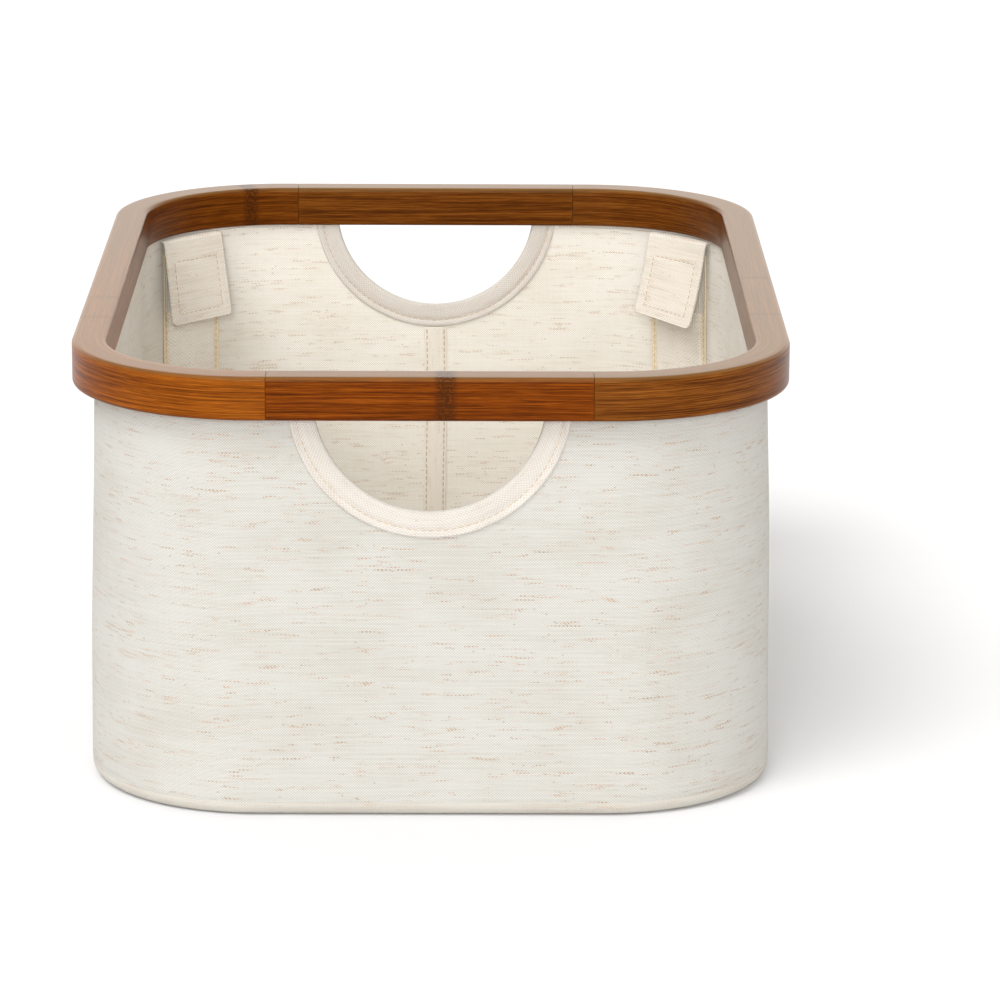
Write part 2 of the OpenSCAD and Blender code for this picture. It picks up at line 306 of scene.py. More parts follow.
def stitches(name, lines, material, body="root", pitch=0.0034, length=0.0025, radius=0.00028):
    """Thread showing along lines of sewing. Each line is (points, normals)."""
    ring = np.radians(np.arange(0, 360, 60))
    profile = [(-0.5, 0.35), (-0.3, 0.9), (0, 1.0), (0.3, 0.9), (0.5, 0.35)]
    template = np.array([[a * length, r * radius * math.cos(t), r * radius * math.sin(t)]
                         for a, r in profile for t in ring])
    uv = np.array([[[a * length, t * radius] for t in range(7)] for a, _ in profile])
    points, faces, corner_uv = sweep(template.reshape(5, 6, 3), uv)
    all_points, all_faces, all_uv = [], [], []
    dice = np.random.default_rng(len(name) + 7 * len(lines))
    for path, normals in lines:
        steps = np.concatenate([[0], np.cumsum(np.linalg.norm(np.diff(path, axis=0), axis=1))])
        for d in np.arange(pitch / 2, steps[-1], pitch):
            here = np.array([np.interp(d, steps, path[:, k]) for k in range(3)])
            ahead = np.array([np.interp(d + 0.0006, steps, path[:, k]) for k in range(3)])
            behind = np.array([np.interp(d - 0.0006, steps, path[:, k]) for k in range(3)])
            up = np.array([np.interp(d, steps, normals[:, k]) for k in range(3)])
            run = ahead - behind
            run = run / np.linalg.norm(run)
            side = np.cross(up, run)
            side = side / np.linalg.norm(side)
            run = run + 0.07 * dice.standard_normal() * side
            rise = np.cross(run, side)
            turned = points @ np.array([run, side, rise]) + here
            all_faces += [[len(all_points) * len(points) + v for v in f] for f in faces]
            all_points.append(turned)
            all_uv.append(corner_uv)
    return make(name, np.concatenate(all_points), all_faces, np.concatenate(all_uv), material,
                body=body, slot="tape", sharp=80)


def strip_section(half, low, high, edge=0.0004, crown=0.0, marks=(), dip=0.0002):
    """A flat strip's closed section, as (sideways, depth), with rounded edges and sewn dips."""
    across = np.unique(np.concatenate(
        [np.linspace(-half + edge, half - edge, 13)]
        + [m + np.array([-0.0006, 0, 0.0006]) for m in marks]))
    top = high + crown * (1 - (across / half) ** 2)
    for m in marks:
        top = top - dip * bell(across - m, 0.0006)
    turn = np.radians([0, 30, 60])
    right = np.stack([half - edge + edge * np.cos(turn), high - edge + edge * np.sin(turn)], -1)
    left = right[::-1] * [-1, 1]
    return np.concatenate([
        [[half, low]], right, np.stack([across, top], -1)[::-1], left, [[-half, low]],
        np.stack([across, np.full(len(across), low)], -1)])


# ---------------------------------------------------------------- materials


class Nodes:
    """A tree of shader nodes. Sockets or plain values go in, and a socket comes out."""

    def __init__(self, tree):
        self.tree = tree

    def node(self, kind, inputs, output=0, **settings):
        made = self.tree.nodes.new("ShaderNode" + kind)
        for key, value in settings.items():
            setattr(made, key, value)
        for key, value in inputs.items():
            if isinstance(value, bpy.types.NodeSocket):
                self.tree.links.new(value, made.inputs[key])
            else:
                made.inputs[key].default_value = value
        return made.outputs[output]

    def math(self, operation, a, b=0.0, c=0.0):
        return self.node("Math", {0: a, 1: b, 2: c}, operation=operation)

    def add(self, a, b):
        return self.math("ADD", a, b)

    def times(self, a, b):
        return self.math("MULTIPLY", a, b)

    def scaled(self, a, gain, shift=0.0):
        return self.math("MULTIPLY_ADD", a, gain, shift)

    def ramp(self, value, low, high, to_low=0.0, to_high=1.0):
        return self.node("MapRange", {0: value, 1: low, 2: high, 3: to_low, 4: to_high},
                         interpolation_type="SMOOTHSTEP")

    def mix(self, share, a, b):
        def colour(c):
            return c if isinstance(c, bpy.types.NodeSocket) else (*c, 1.0)
        return self.node("Mix", {0: share, 6: colour(a), 7: colour(b)}, 2, data_type="RGBA")

    def shade(self, colour, factor):
        """colour times a grey factor."""
        grey = self.node("CombineColor", {0: factor, 1: factor, 2: factor})
        return self.node("Mix", {0: 1.0, 6: colour, 7: grey}, 2, data_type="RGBA",
                         blend_type="MULTIPLY")

    def vector(self, x, y, z=0.0):
        return self.node("CombineXYZ", {0: x, 1: y, 2: z})


class Paint(Nodes):
    """A material, and its Principled shader."""

    def __init__(self, name, roughness, **settings):
        self.material = bpy.data.materials.new(name)
        self.material.use_nodes = True
        super().__init__(self.material.node_tree)
        self.shader = self.tree.nodes["Principled BSDF"]
        self.shader.inputs["Roughness"].default_value = roughness
        for key, value in settings.items():
            self.shader.inputs[key.replace("_", " ")].default_value = value

    def uv(self):
        """The mesh's own map, in metres."""
        parts = self.tree.nodes.new("ShaderNodeSeparateXYZ")
        uv_map = self.tree.nodes.new("ShaderNodeUVMap")
        uv_map.uv_map = "UVMap"
        self.tree.links.new(uv_map.outputs[0], parts.inputs[0])
        return parts.outputs[0], parts.outputs[1]

    def noise(self, vector, detail=2.0, roughness=0.5, scale=1.0):
        return self.node("TexNoise", {"Vector": vector, "Scale": scale, "Detail": detail,
                                      "Roughness": roughness})

    def chance(self, vector):
        return self.node("TexWhiteNoise", {"Vector": vector})

    def finish(self, colour, height, distance, strength=1.0):
        self.tree.links.new(colour, self.shader.inputs["Base Color"])
        bump = self.node("Bump", {"Height": height, "Distance": distance, "Strength": strength})
        self.tree.links.new(bump, self.shader.inputs["Normal"])
        return self.material


def cloth(name, light, dark, slub, seed=0.0, pitch=(0.00064, 0.00060), slubs=1.0, relief=0.00020,
          gap=0.72, clump=(32.0, 420.0), tint=None, tint_from=None):
    """Plain weave with slubs along the weft, which runs along u.

    pitch is the spacing of the warp and the weft, and gap how bright painted shade leaves the
    hollows between yarns. clump is how often the slubs gather along u and v. tint colours both
    edges tan as painted shade in creases, further than tint_from from the middle of u.
    """
    p = Paint(name, 0.92, Sheen_Weight=0.12, Sheen_Roughness=0.5, IOR=1.35)
    u, v = p.uv()
    wander = p.vector(p.scaled(u, 45.0, seed), p.scaled(v, 60.0))
    drift = p.scaled(p.noise(wander, 2.0), 0.0006, -0.0003)
    across = p.scaled(p.add(u, drift), 1 / pitch[0])
    up = p.scaled(p.add(v, drift), 1 / pitch[1])
    warp, weft = p.math("FLOOR", across), p.math("FLOOR", up)
    fu = p.scaled(p.math("FRACT", across), 2.0, -1.0)
    fv = p.scaled(p.math("FRACT", up), 2.0, -1.0)
    over = p.math("PINGPONG", p.add(warp, weft), 1.0)
    round_u = p.scaled(p.times(fu, fu), -1.0, 1.0)
    round_v = p.scaled(p.times(fv, fv), -1.0, 1.0)
    weft_top = p.times(round_v, p.scaled(round_u, 0.7, 0.3))
    warp_top = p.times(round_u, p.scaled(round_v, 0.7, 0.3))
    height = p.add(p.times(over, weft_top), p.times(p.scaled(over, -1.0, 1.0), warp_top))

    weft_tone = p.noise(p.vector(p.scaled(u, 30.0, seed), p.times(weft, 3.7)), 1.0)
    warp_tone = p.noise(p.vector(p.times(warp, 3.3), p.scaled(v, 24.0, seed)), 1.0)
    cloud = p.noise(p.vector(p.scaled(u, 22.0, seed), p.scaled(v, 34.0)), 3.0)
    tone = p.add(p.scaled(weft_tone, 0.42), p.add(p.scaled(warp_tone, 0.08), p.scaled(cloud, 0.5)))
    colour = p.mix(p.ramp(tone, 0.40, 0.70), light, dark)

    streak = p.noise(p.vector(p.scaled(u, 100.0, seed + 5), p.times(weft, 5.3)), 1.5, 0.6)
    patch = p.noise(p.vector(p.scaled(u, clump[0], seed + 9), p.scaled(v, clump[1])), 2.0)
    found = p.times(p.ramp(streak, 0.52, 0.64), p.ramp(patch, 0.46, 0.62))
    beads = p.math("SINE", p.add(p.times(u, 2 * math.pi / 0.0018), p.times(weft, 2.1)))
    shown = p.times(found, p.scaled(beads, 0.48, 0.52))
    hue = p.chance(p.vector(weft, p.math("FLOOR", p.scaled(u, 35.0, seed))))
    slub_colour = p.mix(hue, slub, [0.66, 0.46, 0.33])
    colour = p.mix(p.times(shown, 0.62 * slubs), colour, slub_colour)
    cell = p.vector(p.math("FLOOR", p.times(across, 0.7)), weft, seed)
    speck = p.times(p.ramp(p.chance(cell), 0.9978, 0.9994), 0.28 * slubs)
    colour = p.mix(speck, colour, [0.32, 0.20, 0.12])
    # Painted shade: the edges take the tint, for the creases where the strip meets the cloth behind
    # it.
    if tint:
        edge = p.ramp(p.math("ABSOLUTE", u), tint_from - 0.0012, tint_from + 0.0008)
        colour = p.mix(p.times(edge, 0.8), colour, tint)
    # Painted shade: the colour darkens in the hollows between yarns, down to gap times itself in
    # the deepest.
    lit = p.add(p.scaled(over, 0.5), p.scaled(round_v, 0.5))
    colour = p.shade(colour, p.scaled(lit, 1.08 - gap, gap))
    fuzz = p.noise(p.vector(p.times(u, 2600.0), p.times(v, 2600.0)), 2.0)
    relief_height = p.add(p.add(height, p.times(found, 0.5)), p.times(fuzz, 0.5))
    return p.finish(colour, relief_height, relief)


def bamboo(name, seed, tint, painted_shade_factor=0.6, painted_shade_at=0.0, unshaded_at=0.0):
    """Stained bamboo under satin lacquer: fibres along u, with a dark band at each node.

    Painted shade darkens the colour along u: by the given factor at one given place,
    easing off to none at the other.
    """
    p = Paint(name, 0.30, IOR=1.195, Specular_Tint=(1.0, 0.85, 0.40, 1.0))
    u, v = p.uv()
    waver = p.scaled(p.noise(p.vector(p.scaled(u, 6.0, seed), p.times(v, 20.0)), 1.0),
                     0.0010, -0.0005)
    v = p.add(v, waver)
    broad = p.noise(p.vector(p.scaled(u, 8.0, seed), p.times(v, 620.0)), 1.0)
    strand = p.noise(p.vector(p.scaled(u, 26.0, seed + 3), p.times(v, 2000.0)), 2.0, 0.6)
    fibre = p.noise(p.vector(p.scaled(u, 90.0, seed + 5), p.times(v, 4200.0)), 2.0, 0.7)
    dash = p.noise(p.vector(p.scaled(u, 40.0, seed + 7), p.times(v, 2300.0)), 1.0)
    tone = p.add(p.scaled(broad, 0.26), p.add(p.scaled(strand, 0.42), p.scaled(fibre, 0.32)))
    light = [tint[0] * 0.335, tint[1] * 0.100, tint[2] * 0.010]
    middle = [tint[0] * 0.205, tint[1] * 0.051, tint[2] * 0.0035]
    dark = [tint[0] * 0.085, tint[1] * 0.018, tint[2] * 0.0015]
    colour = p.mix(p.ramp(tone, 0.40, 0.52), dark, middle)
    colour = p.mix(p.ramp(tone, 0.49, 0.62), colour, light)
    colour = p.mix(p.times(p.ramp(dash, 0.60, 0.66), 0.60), colour, dark)
    # Painted shade: the colour darkens towards the rear, where less light reaches.
    if painted_shade_at != unshaded_at:
        colour = p.shade(colour, p.ramp(u, painted_shade_at, unshaded_at, painted_shade_factor, 1.0))
    # Painted reflection: the top face is paled towards light brown, as it looks when it reflects
    # the bright studio.
    top = p.node("Attribute", {}, 2, attribute_name="top_painted_reflection")
    colour = p.mix(p.times(top, 0.55), colour, [0.200, 0.112, 0.038])
    mark = p.node("Attribute", {}, 2, attribute_name="node_mark")
    knots = p.noise(p.vector(p.scaled(u, 640.0, seed), p.scaled(v, 1000.0)), 3.0, 0.7)
    blotch = p.noise(p.vector(p.scaled(u, 240.0, seed + 2), p.scaled(v, 700.0)), 2.0, 0.6)
    band = p.times(p.ramp(mark, 0.15, 0.70), p.ramp(knots, 0.42, 0.52))
    colour = p.mix(p.times(p.ramp(mark, 0.02, 0.5), p.scaled(blotch, 0.7)), colour, dark)
    colour = p.mix(p.times(band, 0.85), colour, [0.040, 0.010, 0.002])
    relief = p.add(p.scaled(strand, 0.5), p.add(p.scaled(fibre, 0.3), p.times(band, -0.5)))
    return p.finish(colour, relief, 0.00010, 0.5)


def plain(name, light, dark, roughness, grain, relief):
    """A moulded, pressed or spun material in the object's own space, with fine grain."""
    p = Paint(name, roughness)
    place = p.tree.nodes.new("ShaderNodeTexCoord").outputs["Object"]
    coarse = p.noise(place, 3.0, 0.6, grain * 0.12)
    fine = p.noise(place, 2.0, 0.5, grain)
    tone = p.add(p.scaled(coarse, 0.6), p.scaled(fine, 0.4))
    return p.finish(p.mix(p.ramp(tone, 0.35, 0.65), light, dark), fine, relief)


def hook_tape(name, light, dark):
    """Hook-and-loop tape: rows of short bristles."""
    p = Paint(name, 0.75, Sheen_Weight=0.2, Sheen_Roughness=0.4)
    u, v = p.uv()
    rows = [p.math("SINE", p.times(x, 2 * math.pi / 0.0009)) for x in (u, v)]
    bristle = p.times(p.scaled(rows[0], 0.5, 0.5), p.scaled(rows[1], 0.5, 0.5))
    fuzz = p.noise(p.vector(p.times(u, 1800.0), p.times(v, 1800.0)), 3.0, 0.7)
    height = p.add(bristle, p.times(fuzz, 0.8))
    # Painted shade: the colour darkens where the bristles are low, in the hollows between them.
    return p.finish(p.mix(p.ramp(height, 0.3, 1.0), dark, light), height, 0.0004)


TAN = [0.58, 0.40, 0.23]
LINEN = cloth("linen", [0.665, 0.648, 0.602], [0.602, 0.574, 0.516], [0.43, 0.28, 0.16],
              slubs=1.7, gap=0.60)
LINING = cloth("lining", [0.905, 0.865, 0.790], [0.835, 0.785, 0.695], TAN, seed=13.0, slubs=1.3,
               clump=(26.0, 460.0))
BASE = cloth("base_cloth", [0.66, 0.625, 0.56], [0.59, 0.535, 0.46], TAN, seed=31.0)
TAPE = cloth("tape_cloth", [0.690, 0.645, 0.590], [0.625, 0.575, 0.518], [0.55, 0.40, 0.29],
             seed=47.0, pitch=(0.00084, 0.00080), slubs=0.8, relief=0.00024, gap=0.78)
SEAM_TAPE = cloth("seam_tape_cloth", [0.860, 0.805, 0.715], [0.790, 0.725, 0.625], TAN,
                  seed=53.0, slubs=0.8, gap=0.78)
# The sleeve's edges are tinted tan as painted shade, for the creases where the sleeve meets the
# lining.
SLEEVE = cloth("sleeve_cloth", [0.86, 0.81, 0.73], [0.78, 0.725, 0.64], TAN, seed=71.0,
               pitch=(0.0012, 0.0010), slubs=0.6, relief=0.00024, gap=0.86,
               tint=[0.80, 0.66, 0.44], tint_from=0.0165)
FLAP = cloth("flap_cloth", [0.755, 0.700, 0.620], [0.670, 0.612, 0.530], TAN, seed=91.0,
             pitch=(0.00100, 0.00090), slubs=0.9, relief=0.00018, gap=0.85)
# The darker thread is partly its own colour and partly painted shade, standing in for the shaded
# needle holes between stitches.
THREAD_AND_HOLE_SHADE = plain("thread", [0.60, 0.47, 0.33], [0.46, 0.34, 0.22], 0.8, 2500.0, 0.0001)
PALE_THREAD = plain("pale_thread", [0.72, 0.65, 0.55], [0.60, 0.52, 0.42], 0.8, 2500.0, 0.0001)
ROD = plain("rod_plastic", [0.70, 0.70, 0.67], [0.60, 0.60, 0.57], 0.45, 900.0, 0.00006)
CAP = plain("cap_rubber", [0.035, 0.035, 0.036], [0.055, 0.055, 0.056], 0.7, 1600.0, 0.0001)
BOARD = plain("grey_board", [0.42, 0.33, 0.22], [0.33, 0.25, 0.16], 0.9, 700.0, 0.0002)
HOOKS = hook_tape("hook_and_loop", [0.82, 0.78, 0.71], [0.66, 0.62, 0.55])

# ---------------------------------------------------------------- rim

# Where the culm's nodes cross the rim, and how strongly each shows
NODE_MARKS = [(FRONT + 0.007, 0.95), (0.0998, 0.85), (0.41, 0.3), (LOOP - 0.36, 0.3),
              (FRONT - 0.24, 0.3), (FRONT + 0.25, 0.3)]


def rim_section():
    """The rim's section as (inset, height), with rounded edges and the hem's groove below."""
    e, turn = RIM_EDGE, np.radians(np.linspace(0, 90, 7))
    groove_in, groove_out, groove_h = 0.0136, 0.0098, 0.009
    curve = [(e - e * math.cos(t), e - e * math.sin(t)) for t in turn]
    return np.concatenate([
        curve[::-1],
        [(0.0, z) for z in np.linspace(e, RIM_H - e, 9)[1:-1]],
        [(x, RIM_H - z) for x, z in curve],
        [(x, RIM_H) for x in np.linspace(e, RIM_T - e, 7)[1:-1]],
        [(RIM_T - x, RIM_H - z) for x, z in curve[::-1]],
        [(RIM_T, z) for z in np.linspace(RIM_H - e, e, 9)[1:-1]],
        [(RIM_T - x, z) for x, z in curve],
        [(groove_in, 0), (groove_in, groove_h), (groove_out, groove_h), (groove_out, 0)],
    ])


def rim_piece(name, node, start, end, material):
    section = rim_section()
    bevel = 0.00016
    s = np.concatenate([[start], np.linspace(start + bevel, end - bevel,
                                             round((end - start) / STEP) + 1), [end]])
    middle = np.array([RIM_T / 2, RIM_H / 2])
    shrunk = section + np.clip(middle - section, -bevel, bevel)
    shape = np.stack([shrunk] + [section] * (len(s) - 2) + [shrunk])
    points = around(s[:, None], RIM_R - shape[..., 0], RIM_Z + shape[..., 1])
    piece = make(name, *sweep(points, section_uv(s, section)), material, slot="bamboo",
                 stands_for=[node], sharp=40)
    mark = piece.data.attributes.new("node_mark", "FLOAT", "POINT")
    values = np.max([shown * bell(near(s, m), 0.0042) for m, shown in NODE_MARKS], axis=0)
    mark.data.foreach_set("value", np.repeat(values, len(section)).astype(np.float32))
    # Marks the top face, which the material paints paler as painted reflection.
    top = piece.data.attributes.new("top_painted_reflection", "FLOAT", "POINT")
    values = ease(section[:, 1], RIM_H - RIM_EDGE, RIM_H)
    top.data.foreach_set("value", np.tile(values, len(s)).astype(np.float32))


# Each piece's tint is partly its own tone and partly painted light: the left bow lighter, the right
# bow darker and duller, and the rear rail darker, by how the light falls on each.
rim_piece("rim_front_rail_wood", "rim_front_rail", FRONT - RAIL_HALF, FRONT + RAIL_HALF,
          bamboo("bamboo_front", 2.0, (0.68, 0.52, 0.3)))
rim_piece("rim_rear_rail_wood", "rim_rear_rail", -RAIL_HALF, RAIL_HALF,
          bamboo("bamboo_rear", 11.0, (0.55, 0.57, 0.7)))
rim_piece("rim_left_bow_wood", "rim_left_bow", RAIL_HALF + JOINT, FRONT - RAIL_HALF - JOINT,
          bamboo("bamboo_left", 23.0, (0.98, 0.94, 0.8), 0.57, 0.16, 0.50))
rim_piece("rim_right_bow_wood", "rim_right_bow", FRONT + RAIL_HALF + JOINT,
          LOOP - RAIL_HALF - JOINT,
          bamboo("bamboo_right", 37.0, (0.68, 0.74, 1.1), 0.82, LOOP - 0.16, LOOP - 0.45))

# ---------------------------------------------------------------- walls

COLS = columns(STEP, 0.0008, [0.0])
ROWS = np.unique(np.round(np.concatenate([
    np.linspace(SEAM_Z, RIM_Z, 61), SEAM_Z + np.array([0.0007, 0.0014, 0.0022]),
    [RIM_Z + 0.004, HEM_TOP]]), 6))


def wall_layer(name, node, depth, material, slot):
    s, z = COLS[None, :], ROWS[:, None]
    points = wall(s, z, depth)
    ends = np.append(COLS, LOOP)
    uv = np.stack(np.broadcast_arrays(ends[None, :], z), -1)
    mid_s, mid_z = (ends[1:] + ends[:-1])[None, :] / 2, (ROWS[1:] + ROWS[:-1])[:, None] / 2
    keep = np.ones((len(ROWS) - 1, len(COLS)), bool)
    for middle in (0, FRONT):
        keep &= np.hypot(near(mid_s, middle), mid_z - HOLE_Z) > HOLE_R + HOLE_MARGIN
    piece = make(name, *grid(points, uv, wrap=True, keep=keep), material, slot=slot,
                 stands_for=[node], closed=False)
    return thicken(piece, CLOTH)


outer = wall_layer("outer_wall_cloth", "outer_wall", 0.0, LINEN, "linen")
lining = wall_layer("wall_lining_cloth", "wall_lining", LINING_DEPTH, LINING, "lining")


def disc_rows(rho, z, shares):
    """Rows of points from near the middle of the base out to an outline."""
    edge = around(COLS, rho, z)
    centre = np.array([0, 0, z])
    return centre + np.array(shares)[:, None, None] * (edge - centre)


def flat_uv(rows):
    return np.concatenate([rows, rows[:, :1]], 1)[..., :2]


EDGE_R = SEAM_Z
turn = np.radians(np.linspace(90, 0, 9))[1:]
edge_rho = WALL_R + FLARE - EDGE_R
low = disc_rows(edge_rho, 0.0, [0.04, 0.2, 0.4, 0.6, 0.8, 0.92, 1.0])
pinch = 0.00035 * bell(np.sin(turn) * EDGE_R, 0.0013)[:, None]
high = around(COLS[None, :], (edge_rho + EDGE_R * np.cos(turn))[:, None] - pinch,
              (EDGE_R * (1 - np.sin(turn)))[:, None])
rows = np.concatenate([low, high])
side_v = np.concatenate([np.zeros(len(low)), EDGE_R * (math.pi / 2 - turn)])
side_uv = np.stack(np.broadcast_arrays(np.append(COLS, LOOP)[None, :], side_v[:, None]), -1)
base = make("base_cover_cloth", *grid(rows, side_uv, wrap=True, low_uv=flat_uv(rows),
                                      split=len(low) - 1, cap=True),
            BASE, slot="linen", stands_for=["base_cover"], closed=False)
thicken(base, CLOTH)


_, lining_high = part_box("base_lining")
floor_rho = lining_high.y - CORE_HALF_Y
FLOOR_Z = lining_high.z
shares = [0.04, 0.15, 0.3, 0.45, 0.6, 0.75, 0.86, 0.94, 0.97, 0.975, 0.98, 0.985, 0.99, 0.995, 1.0]
rows = disc_rows(floor_rho, FLOOR_Z, shares)
share = np.array(shares)[:, None]
ripple = 0.00025 * np.sin(rows[..., 0] / 0.021 + 1) * np.sin(rows[..., 1] / 0.027)
rows[..., 2] += ripple * (share < 0.96) - 0.0003 * bell(share - 0.98, 0.004)
rows[..., 2] -= 0.0005 * ease(share, 0.992, 1.0)
floor_cloth = make("base_lining_cloth", *grid(rows, flat_uv(rows), wrap=True, cap=True), LINING,
                   slot="lining", stands_for=["base_lining"], closed=False)
thicken(floor_cloth, 0.0009)

# Thread along the edge of the base lining
edge_line = around(np.append(COLS, LOOP), floor_rho, FLOOR_Z) * [0.98, 0.98, 1] + [0, 0, 0.00002]
stitches("base_lining_stitches", [(edge_line, np.tile([0, 0, 1.0], (len(edge_line), 1)))],
         PALE_THREAD, pitch=0.0042, length=0.003)

# ---------------------------------------------------------------- tapes


def hem_strip(side):
    """The stiff tape below the rim, on one side, between the two hand holes."""
    section = strip_section(0.0048, 0.00245, 0.0034, edge=0.0003)
    start = HEM_GAP if side < 0 else FRONT + HEM_GAP
    end = (FRONT if side < 0 else LOOP) - HEM_GAP
    s = np.linspace(start, end, round((end - start) / STEP) + 1)[:, None]
    wavy = 0.00022 * np.sin(s / 0.013) + 0.00015 * np.sin(s / 0.0041 + 1)
    z = RIM_Z + 0.0034 + section[None, :, 0] + wavy * (section[None, :, 0] < 0)
    points = wall(s, z, section[None, :, 1])
    return points, section_uv(s.ravel(), section)


for side, word in ((-1, "left"), (1, "right")):
    points, uv = hem_strip(side)
    make("hem_tape_" + word, *sweep(points, uv), TAPE, slot="tape", stands_for=["hem_tape"])


def arc_place(side, radius, angle, depth):
    """A point of a hand hole's surround: angle runs below the horizontal from one end."""
    middle = FRONT if side < 0 else 0.0
    return wall(middle - radius * np.cos(angle), HOLE_Z - radius * np.sin(angle), depth)


def binding_section():
    """The folded tape's closed section as (radius, depth), proud of both faces of the wall."""
    outer_r, stitch_r = HOLE_R + BINDING_W, HOLE_R + BINDING_W - 0.0034
    radius = np.array([0.0, 0.0002, 0.0008, 0.0016, 0.0024, 0.0030, 0.0034, 0.0039, 0.0047, 0.0060,
                       0.0078, 0.0095, 0.0108])
    proud = np.array([0.00035, 0.00090, 0.00112, 0.00112, 0.00092, 0.00055, 0.00036, 0.00058,
                      0.00088, 0.00102, 0.00104, 0.00100, 0.00092])
    radius = outer_r - radius
    middle, half = INSIDE / 2, INSIDE / 2
    turn = np.radians([60, 35, 10, -10, -35, -60])
    fold_depth = middle - np.sin(turn) * (half + 0.0009)
    fold_r = HOLE_R + 0.0009 - 0.0009 * np.cos(turn)
    face = np.stack([radius, -proud], -1)
    back = np.stack([radius[::-1], INSIDE + proud[::-1]], -1)
    inner = [[outer_r, INSIDE], [HOLE_R + 0.0012, INSIDE], [HOLE_R + 0.0012, 0], [outer_r, 0]]
    return np.concatenate([face, np.stack([fold_r, fold_depth], -1), back, inner]), stitch_r


def binding(side, word):
    section, stitch_r = binding_section()
    radius = section[:, 0][None, :]
    share = np.linspace(0, 1, 150)[:, None]
    first = np.arcsin((HOLE_Z - RIM_Z + 0.00002) / radius)
    angle = first + share * (np.pi - 2 * first)
    run = angle * radius
    lip = bell(radius - (HOLE_R + BINDING_W - 0.0014), 0.0012)
    body = bell(radius - (HOLE_R + 0.0055), 0.003)
    pucker = 0.00013 * lip * np.sin(run / 0.00108) + 0.00008 * body * np.sin(run / 0.0021 + 1)
    pucker = pucker + 0.00010 * body * np.sin(run / 0.0063)
    depth = section[:, 1][None, :]
    facing = np.where(depth < 0, -1, np.where(depth > INSIDE, 1, 0))
    wander = 0.00025 * lip * np.sin(run / 0.017 + side) + 0.00012 * lip * np.sin(run / 0.0043)
    points = arc_place(side, radius + wander, angle, depth + facing * pucker)
    make(word + "_binding_tape", *sweep(points, section_uv(share.ravel() * BINDING_RUN, section)),
         TAPE, slot="tape", stands_for=[word + "_handle_binding"], sharp=70)
    lines = []
    first = math.asin((HOLE_Z - RIM_Z) / stitch_r)
    turn = np.linspace(first + 0.01, math.pi - first - 0.01, 160)
    for depth, facing in ((-THREAD_LIFT, -side), (INSIDE + THREAD_LIFT, side)):
        path = arc_place(side, stitch_r, turn, depth)
        lines.append((path, np.tile([0.0, float(facing), 0.0], (len(path), 1))))
    stitches(word + "_binding_stitches", lines, THREAD_AND_HOLE_SHADE, radius=FINE_THREAD)


binding(-1, "front")
binding(1, "rear")

section = strip_section(0.006, 0.0024, 0.0031, edge=0.0003, crown=0.0002,
                        marks=(-TAPE_SEAM, TAPE_SEAM), dip=0.00022)
tape_low, tape_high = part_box("centre_seam_tape")
z = np.linspace(tape_low.z, tape_high.z, 90)[:, None]
wander = 0.0003 * np.sin(z / 0.021) + 0.00012 * np.sin(z / 0.004)
points = wall(section[None, :, 0] + wander, z, section[None, :, 1])
make("centre_seam_cloth", *sweep(points, section_uv(z.ravel(), section)), SEAM_TAPE, slot="tape",
     stands_for=["centre_seam_tape"])
z = z.ravel()
lines = [(wall(side * TAPE_SEAM + 0.0003 * np.sin(z / 0.021), z, 0.0031),
          np.tile([0.0, -1.0, 0.0], (len(z), 1))) for side in (-1, 1)]
stitches("centre_seam_stitches", lines, THREAD_AND_HOLE_SHADE)

# The outer wall's closing seam, on the middle of the rear
z = np.linspace(SEAM_Z + 0.004, HOLE_Z - HOLE_R - BINDING_W - 0.002, 60)
stitches("rear_seam_stitches", [(wall(np.full(len(z), REAR_SEAM), z, -0.00002),
                                 np.tile([0.0, 1.0, 0.0], (len(z), 1)))], PALE_THREAD)

# ---------------------------------------------------------------- corners

LINING_R = WALL_R - INSIDE


def corner_point(corner, r, a, z):
    """A point r out from a corner's centre along its diagonal, and a sideways, anticlockwise."""
    sx, sy, _ = CORNERS[corner]
    r, a, z = np.broadcast_arrays(r, a, z)
    k = math.sqrt(0.5)
    x = sx * CORE_HALF_X + k * (sx * r - sy * a)
    y = sy * CORE_HALF_Y + k * (sy * r + sx * a)
    return np.stack([x, y, z], -1)


def flap_shift(corner):
    """How far a corner's flap is sewn off its rod, towards the long side."""
    sx, sy, _ = CORNERS[corner]
    return -sx * sy * FLAP_SHIFT


def arc_depth(a):
    """How far in the lining's round is at a, measured from the diagonal's end."""
    return LINING_R - np.sqrt(LINING_R ** 2 - a ** 2)


def sleeve_depth(a, z):
    """Depth of the sleeve's face, in from the lining on the diagonal: a tent over the rod."""
    reach = abs(a)
    slope, peak = 0.0992, 0.00541
    tent = peak - slope * (np.sqrt(reach ** 2 + 0.0005 ** 2) - 0.0005)
    loose = 0.00045 + 0.00025 * np.sin(z / 0.019 + 40 * np.sign(a)) + 0.0001 * np.sin(z / 0.0057)
    low = 1 - ease(z, SLEEVE_TOP - 0.036, SLEEVE_TOP - 0.030)
    tent = tent - (0.3 + 0.7 * low) * loose * np.sin(np.pi * np.clip(reach / 0.0165, 0, 1))
    margin = arc_depth(np.clip(a, -0.0199, 0.0199)) + 0.00105
    face = tent + (margin - tent) * ease(reach, 0.0148, 0.0168)
    return face - 0.0003 * bell(reach - SLEEVE_SEAM, 0.0006)


